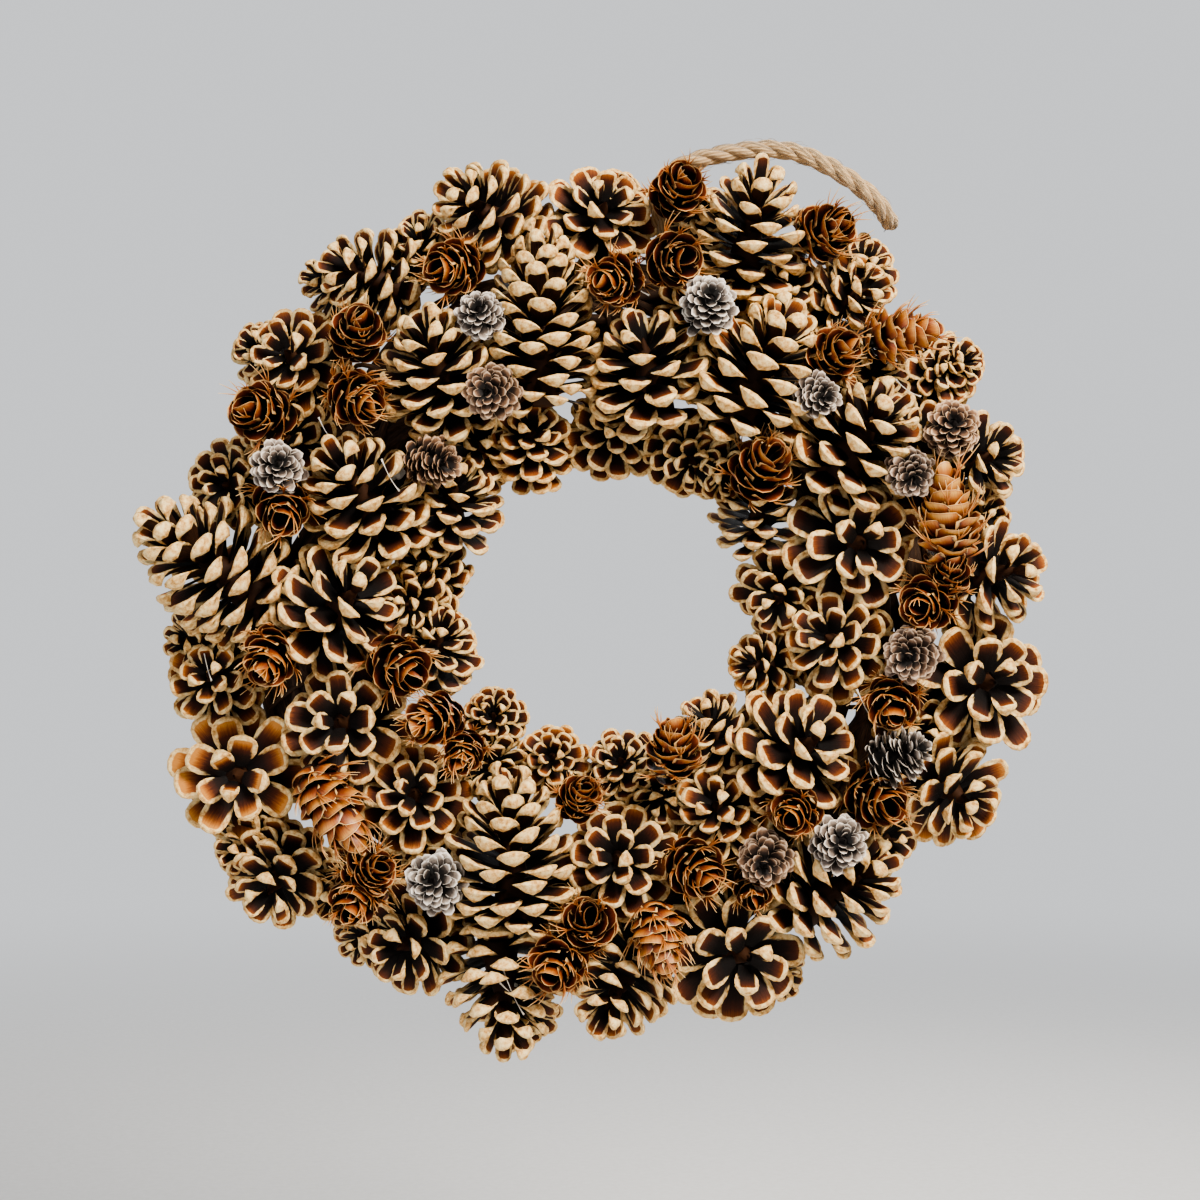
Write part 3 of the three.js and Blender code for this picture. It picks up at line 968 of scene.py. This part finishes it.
# %% Fir and larch cones
for number, node in enumerate(FIR_NODES, 1):
    # Painted light: one fir cone's scales are painted paler.
    sun = 1.0 if number == PAINTED_SUNLIT_FIR else 0.6
    piece = make_cone(f"scaled_{node}", axes[node], FIR_CONE, FIR_SCALE, FIR, "fir_cone",
                      sun, SEEDS["fir"] + number)
    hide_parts(node)
for number, node in enumerate(LARCH_NODES, 1):
    piece = make_cone(f"scaled_{node}", axes[node], LARCH_CONE, LARCH_SCALE, LARCH,
                      "larch_cone", 1.0, SEEDS["larch"] + number)
    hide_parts(node)
for number, where in enumerate(SMALL_FIR, 1):
    make_cone(f"small_fir_cone_{number:02d}", placed(*where), FIR_CONE, FIR_SCALE, FIR,
              "fir_cone", number * SPREAD_STEP % 1 * 0.6, SEEDS["small_fir"] + number)
for number, (where, grey) in enumerate(zip(SMALL_LARCH, LARCH_GREYNESS), 1):
    make_cone(f"small_larch_cone_{number:02d}", placed(*where), LARCH_CONE, LARCH_SCALE,
              LARCH, "larch_cone", grey, SEEDS["small_larch"] + number)
print("small cones:", len(FIR_NODES) + len(SMALL_FIR), "fir,",
      len(LARCH_NODES) + len(SMALL_LARCH), "larch")

# %% [markdown]
# ## The vine ring
# A cheap, strong wreath base is a bundle of vine shoots wound into a ring while green. The
# shoots wander round each other inside the ring's outline and two thin ones bind them. The
# bark is thin, dull and brown, with lengthwise cracks.

# %% Vine material
def make_vine():
    material, tree, shader, readings = new_material(
        "vine_bark_dry", 0.8, ("run", "around", "pick"))
    run, around, pick = readings
    # Cracks run along a shoot, about 0.6 mm apart and some 7 mm long.
    along = add_node(tree, "Math", [run, 0.06], operation="MULTIPLY")
    turned = add_node(tree, "Math", [around, 1.5], operation="MULTIPLY")
    shifted = add_node(tree, "Math", [pick, 30.0], operation="MULTIPLY")
    bark_place = add_node(tree, "CombineXYZ", [along, turned, shifted])
    bark = add_node(tree, "TexNoise", {"Vector": bark_place, "Scale": 2.5, "Detail": 6.0,
                                       "Roughness": 0.7})
    tone = add_node(tree, "ValToRGB", [bark], stops=[
        (0.3, "#1c120b"), (0.48, "#45301f"), (0.62, "#6b4c33"), (0.8, "#92704f")])
    darker = add_node(tree, "Math", [pick, 0.6], operation="MULTIPLY")
    colour = add_node(tree, "Mix", [darker, tone, linear("#3a2417")], data_type="RGBA")
    bump = add_node(tree, "Bump", {"Height": bark, "Strength": 0.8, "Distance": 0.6 * MM})
    tree.links.new(colour.outputs[2], shader.inputs["Base Color"])
    tree.links.new(bump.outputs[0], shader.inputs["Normal"])
    return material


VINE = make_vine()
print("material:", VINE.name)

# %% [markdown]
# ### Winding the shoots
# Each shoot is a closed line that rolls round inside the ring as it goes, at its own rate.

# %% Wind the ring
VINE_COUNT = 40
BINDING_TURNS = (17, -13)  # the binding shoots go round the bundle this many times
BINDING_RADIUS = 1.0
RING_WIDTH = 48
RING_INSIDE = RING_OUTSIDE - RING_WIDTH * MM
BUNDLE_RADIUS = (RING_OUTSIDE + RING_INSIDE) / 2


def vine_line(rng, reach, turns, thickness, steps=150):
    """A closed line that winds round inside the ring's outline."""
    angle = np.linspace(0, 2 * math.pi, steps, endpoint=False)
    roll = turns * angle + rng.uniform(0, 2 * math.pi)
    wave = sum(rng.normal(0, 0.1) * np.sin(k * angle + rng.uniform(0, 6)) for k in (2, 3, 5))
    reach = np.clip(reach + wave, 0.1, 1)
    half_width = (RING_OUTSIDE - RING_INSIDE) / 2 - thickness
    half_depth = RING_DEPTH / 2 - thickness
    radius = BUNDLE_RADIUS + half_width * reach * np.cos(roll)
    depth = -RING_DEPTH / 2 + half_depth * reach * np.sin(roll)
    return CENTRE + np.stack([radius * np.cos(angle), depth, radius * np.sin(angle)], axis=1)


def make_ring():
    """All the shoots and the two that bind them, as one piece."""
    rng = np.random.default_rng(11)
    grids = []
    for vine in range(VINE_COUNT):
        thickness = rng.uniform(1.6, 2.9) * MM
        line = vine_line(rng, rng.uniform(0.3, 1.0) ** 0.6, rng.integers(-3, 4), thickness)
        knots = 1 + 0.12 * np.sin(np.arange(len(line)) * 0.37 + vine)
        points, faces, numbers = tube(line, thickness * knots, around=7, closed=True)
        numbers["pick"] = np.full(len(points), rng.uniform(0, 1))
        grids.append((points, faces, numbers))
    for turns in BINDING_TURNS:
        line = vine_line(rng, 1.0, turns, BINDING_RADIUS * MM, steps=420)
        points, faces, numbers = tube(line, BINDING_RADIUS * MM, around=6, closed=True)
        numbers["pick"] = np.full(len(points), 0.2)
        grids.append((points, faces, numbers))
    return mesh_object("wound_vine_ring", *join_grids(grids), VINE, "vine_ring")


ring = make_ring()
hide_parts("base_ring")
print("vine ring faces", len(ring.data.polygons))

# %% [markdown]
# ## Hot glue
# The cones are held on with hot-melt glue, a milky, slightly glossy plastic. It shows as small
# dabs between some cones and as the fine threads that a glue gun pulls when it is lifted.

# %% Glue material
def make_glue():
    material, tree, shader, _ = new_material("hot_melt_glue", 0.28, ())
    position = add_node(tree, "TexCoord").outputs["Object"]
    # Cloudy patches about 3 mm across, which dimple the surface a little.
    cloud = add_node(tree, "TexNoise", {"Vector": position, "Scale": 1 / (3 * MM), "Detail": 3.0})
    tone = add_node(tree, "ValToRGB", [cloud], stops=[(0.35, "#d9d3c6"), (0.65, "#f4f1ea")])
    bump = add_node(tree, "Bump", {"Height": cloud, "Strength": 0.3, "Distance": 0.3 * MM})
    tree.links.new(tone.outputs[0], shader.inputs["Base Color"])
    tree.links.new(bump.outputs[0], shader.inputs["Normal"])
    shader.inputs["Transmission Weight"].default_value = 0.25
    shader.inputs["Subsurface Weight"].default_value = 0.2
    shader.inputs["Subsurface Radius"].default_value = (2 * MM, 2 * MM, 2 * MM)
    return material


GLUE = make_glue()
print("material:", GLUE.name)

# %% [markdown]
# ### Threads and dabs
# Each thread is its start, end and sag, and each dab its middle and radius, in millimetres
# across, in depth and up from the wreath's centre.

# %% Threads and dabs of glue
THREAD_POINTS = 14
DAB_POINTS = 9
GLUE_THREADS = [
    ((-35, -44, -135), (-27, -46, -152), 1.5), ((-150, -30, -16), (-146, -36, -27), 1.0),
    ((-80, -50, 56), (-73, -54, 44), 1.2), ((-36, -46, -140), (-24, -40, -147), 2.0),
    ((98, -44, -30), (106, -46, -44), 1.5), ((20, -44, 118), (8, -42, 128), 1.2),
    ((112, -48, 86), (122, -44, 80), 1.0), ((-104, -46, 72), (-97, -48, 62), 1.5),
]
GLUE_DABS = [
    ((-148, -16, -22), 4.5), ((-76, -34, 52), 3.5), ((-34, -28, -144), 4.0),
    ((-99, -18, 106), 3.5), ((116, -22, 12), 4.0), ((86, -20, 128), 3.5), ((6, -22, -118), 4.0),
    ((-118, -20, 12), 4.0),
]


def make_glue_pieces():
    """Every thread and dab, as one piece. A thread is thicker at its ends."""
    rng = np.random.default_rng(21)
    grids = []
    for start, end, sag in GLUE_THREADS:
        t = np.linspace(0, 1, THREAD_POINTS)[:, None]
        line = np.array(start) * (1 - t) + np.array(end) * t
        line[:, 2] -= 4 * sag * (t * (1 - t))[:, 0]
        line = np.array([place(*point) for point in line])
        thick = 0.16 + 0.3 * np.abs(np.linspace(-1, 1, THREAD_POINTS)) ** 5
        points, faces, _ = tube(line, thick * MM, around=6)
        grids.append((points, faces, {}))
    for middle, radius in GLUE_DABS:
        along = np.linspace(-1, 1, DAB_POINTS)
        line = np.array([place(middle[0] + a * radius, middle[1], middle[2]) for a in along])
        round_end = np.sqrt(np.maximum(0.02, 1 - along ** 2)) * radius * 0.8
        lumpy = rng.uniform(0.85, 1.1, DAB_POINTS)
        points, faces, _ = tube(line, round_end * lumpy * MM, around=12)
        grids.append((points, faces, {}))
    return mesh_object("hot_glue_threads_and_dabs", *join_grids(grids), GLUE, "hot_glue")


glue = make_glue_pieces()
print("glue:", len(GLUE_THREADS), "threads and", len(GLUE_DABS), "dabs,",
      len(glue.data.polygons), "quads")

# %% [markdown]
# ## Floor and light
# The wreath hangs above a plain pale paper floor. The paper fades out into the room with
# distance from the middle, so no edge or horizon crosses the picture from any side. The light
# is one large soft lamp from the upper right, with weaker ones to fill and to light the back.

# %% Floor
FLOOR_DROP = 420  # from the wreath's centre down to the floor
FLOOR_RADIUS = 2300
FLOOR_FADE = 450  # the paper starts to fade here
FLOOR_SIDES = 64


def make_floor():
    """A round sheet of paper, more see-through the farther it is from the middle."""
    radius = np.array([1, 300, 600, 900, 1300, 1800, FLOOR_RADIUS])
    around = np.linspace(0, 2 * math.pi, FLOOR_SIDES, endpoint=False)
    points = np.stack([
        radius[:, None] * np.cos(around), radius[:, None] * np.sin(around),
        np.full((len(radius), FLOOR_SIDES), -FLOOR_DROP)], axis=-1).reshape(-1, 3)
    mesh = bpy.data.meshes.new("paper_floor")
    faces = grid_faces(len(radius), FLOOR_SIDES, closed=True)
    mesh.from_pydata((CENTRE + points * MM).tolist(), [], faces.tolist())
    layer = mesh.attributes.new("distance", "FLOAT", "POINT")
    layer.data.foreach_set("value", np.repeat(radius, FLOOR_SIDES).astype(np.float32))
    material, tree, shader, (distance,) = new_material("floor_matt_paper", 0.9, ("distance",))
    position = add_node(tree, "TexCoord").outputs["Object"]
    grain = add_node(tree, "TexNoise", {"Vector": position, "Scale": 1 / (5 * MM), "Detail": 4.0})
    tone = add_node(tree, "ValToRGB", [grain], stops=[(0.3, "#dcdad6"), (0.7, "#e2e0dd")])
    tree.links.new(tone.outputs[0], shader.inputs["Base Color"])
    solid = add_node(tree, "MapRange", [distance, FLOOR_RADIUS, FLOOR_FADE],
                     interpolation_type="SMOOTHSTEP")
    tree.links.new(solid.outputs[0], shader.inputs["Alpha"])
    mesh.materials.append(material)
    floor = bpy.data.objects.new("paper_floor", mesh)
    bpy.context.collection.objects.link(floor)
    return floor


print("floor quads:", len(make_floor().data.polygons))

# %% [markdown]
# ### The room's light
# The room looks pale to the camera but gives the wreath less light than that, as a studio
# wall does when the lamps point away from it. That keeps the gaps between scales dark.

# %% Room and lamps
SKY_SEEN = 0.9  # how bright the room looks
SKY_LIGHT = 0.42  # how brightly it lights the wreath


def make_room():
    """A plain room whose brightness to the camera differs from the light it gives."""
    world = bpy.data.worlds.new("studio")
    bpy.context.scene.world = world
    world.use_nodes = True
    tree = world.node_tree
    path = add_node(tree, "LightPath")
    strength = add_node(tree, "MapRange", [path.outputs["Is Camera Ray"], 0.0, 1.0, SKY_LIGHT,
                                           SKY_SEEN])
    sky = tree.nodes["Background"]
    sky.inputs["Color"].default_value = linear("#e9ebee")
    tree.links.new(strength.outputs[0], sky.inputs["Strength"])


make_room()


def area_light(name, at, size, watts, colour):
    """A square lamp, `size` metres wide, that points at the wreath's centre."""
    data = bpy.data.lights.new(name, "AREA")
    data.size = size
    data.energy = watts
    data.color = linear(colour)[:3]
    lamp = bpy.data.objects.new(name, data)
    lamp.location = Vector(place(*at))
    aim = Vector(place(0, 0, 0)) - lamp.location
    lamp.rotation_euler = aim.to_track_quat("-Z", "Y").to_euler()
    bpy.context.collection.objects.link(lamp)


area_light("key", (520, -900, 760), 0.45, 34, "#fff6ea")
area_light("fill", (-900, -800, 200), 0.9, 5, "#eef4ff")
area_light("back", (500, 1000, 700), 0.8, 12, "#ffffff")
bpy.context.scene.view_settings.look = "AgX - Medium High Contrast"

# %% [markdown]
# ## Counts at the end
# The pieces are counted, with all their quads.

# %% Counts, and the end
pieces = [thing for thing in bpy.data.objects if thing.type == "MESH"]
print("pieces", len(pieces), "quads in all", sum(len(piece.data.polygons) for piece in pieces))
